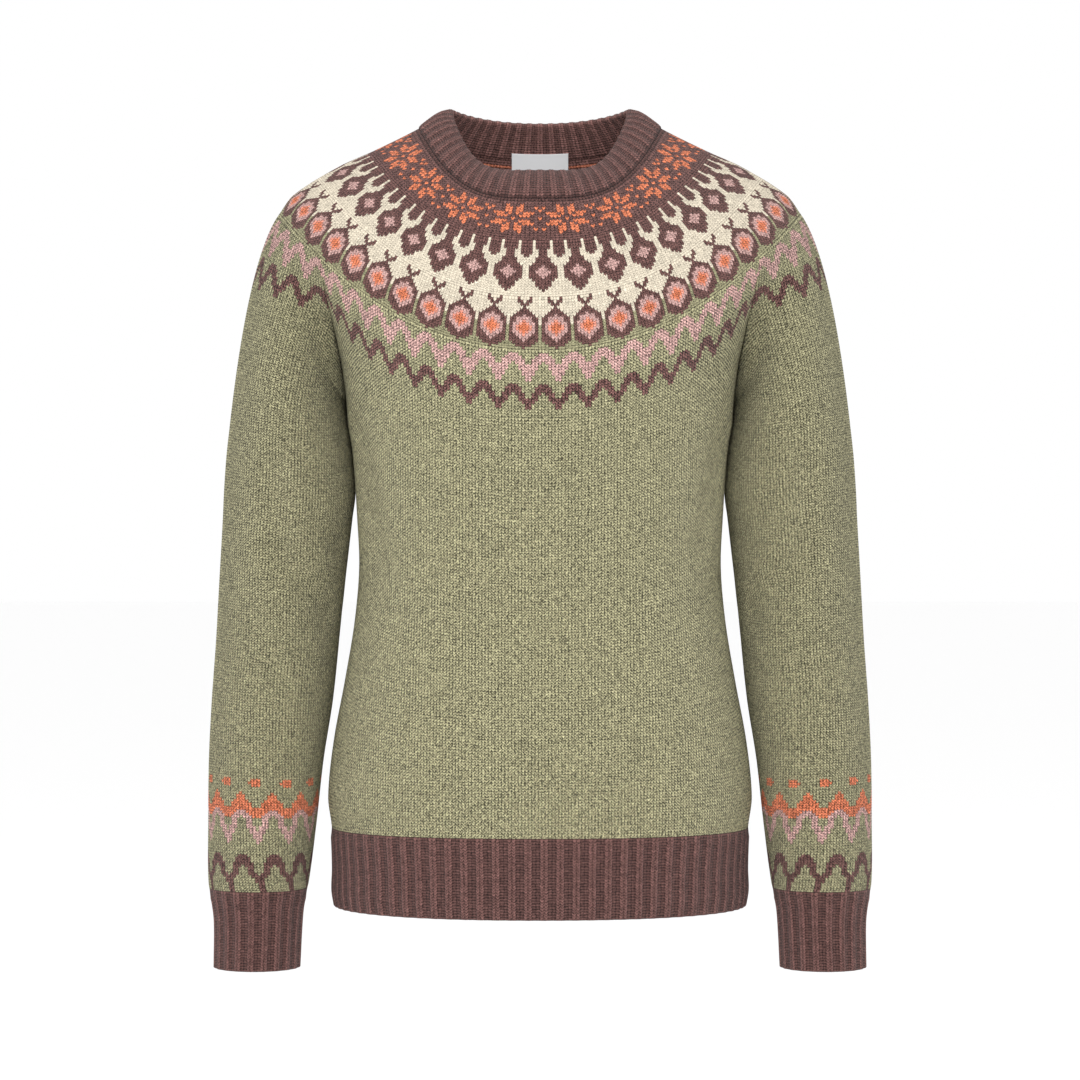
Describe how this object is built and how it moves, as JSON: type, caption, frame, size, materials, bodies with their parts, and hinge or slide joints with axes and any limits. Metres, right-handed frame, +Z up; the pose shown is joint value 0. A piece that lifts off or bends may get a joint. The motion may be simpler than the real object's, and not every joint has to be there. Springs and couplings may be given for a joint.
{
  "type": "fair isle jumper",
  "caption": "Long-sleeved knitted jumper with a patterned round yoke, ribbed crew neck, cuffs and hem, held in its worn, hollow form.",
  "frame": {"origin": "centre of the neck, level with the points where the neckband meets the shoulders", "axes": "+Z up, the front of the jumper faces -Y, +X towards the wearer's left"},
  "size_m": [0.5152, 0.2329, 0.6683],
  "materials": {
    "body_knit": "heathered sage green wool jersey, matt and slightly fuzzy",
    "yoke_knit": "stranded wool knitting in cream, cocoa brown, dusty pink, orange and sage green",
    "rib_knit": "cocoa brown wool ribbing, matt",
    "label_satin": "plain white woven satin ribbon"
  },
  "bodies": {
    "root": {"neckband": "rib_knit", "yoke": "yoke_knit", "front": "body_knit", "back": "body_knit", "hem_rib_front": "rib_knit", "hem_rib_back": "rib_knit", "sleeve_left": "body_knit", "sleeve_right": "body_knit", "cuff_left": "rib_knit", "cuff_right": "rib_knit", "neck_label": "label_satin"}
  },
  "joints": []
}
